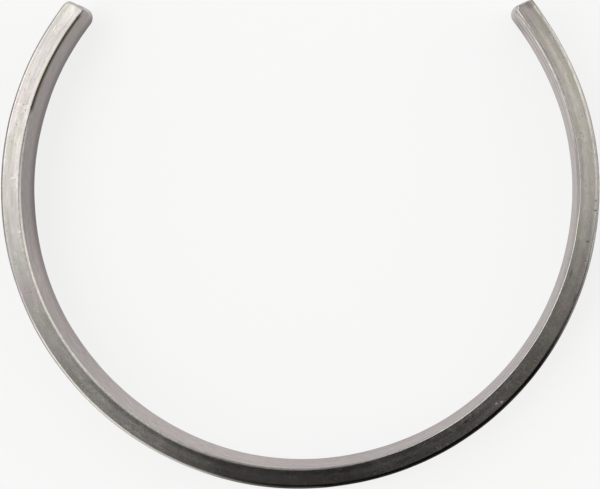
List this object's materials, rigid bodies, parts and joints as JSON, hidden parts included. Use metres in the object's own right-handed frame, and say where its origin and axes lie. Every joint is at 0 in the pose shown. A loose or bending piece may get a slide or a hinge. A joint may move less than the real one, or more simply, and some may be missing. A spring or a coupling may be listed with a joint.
{
  "type": "locating ring",
  "caption": "Open steel ring bent from rectangular bar, which fills the side space of a bearing seat so that the bearing can't move along its shaft.",
  "frame": {"origin": "on the ring's axis, level with its lower face", "axes": "+Z along the ring's axis, +Y from the axis through the middle of the opening, +X across it"},
  "size_m": [0.1, 0.0817, 0.0095],
  "materials": {
    "steel": "bare drawn steel, satin, with the broken edges a little brighter"
  },
  "bodies": {
    "root": {"locating_ring": "steel"}
  },
  "joints": []
}
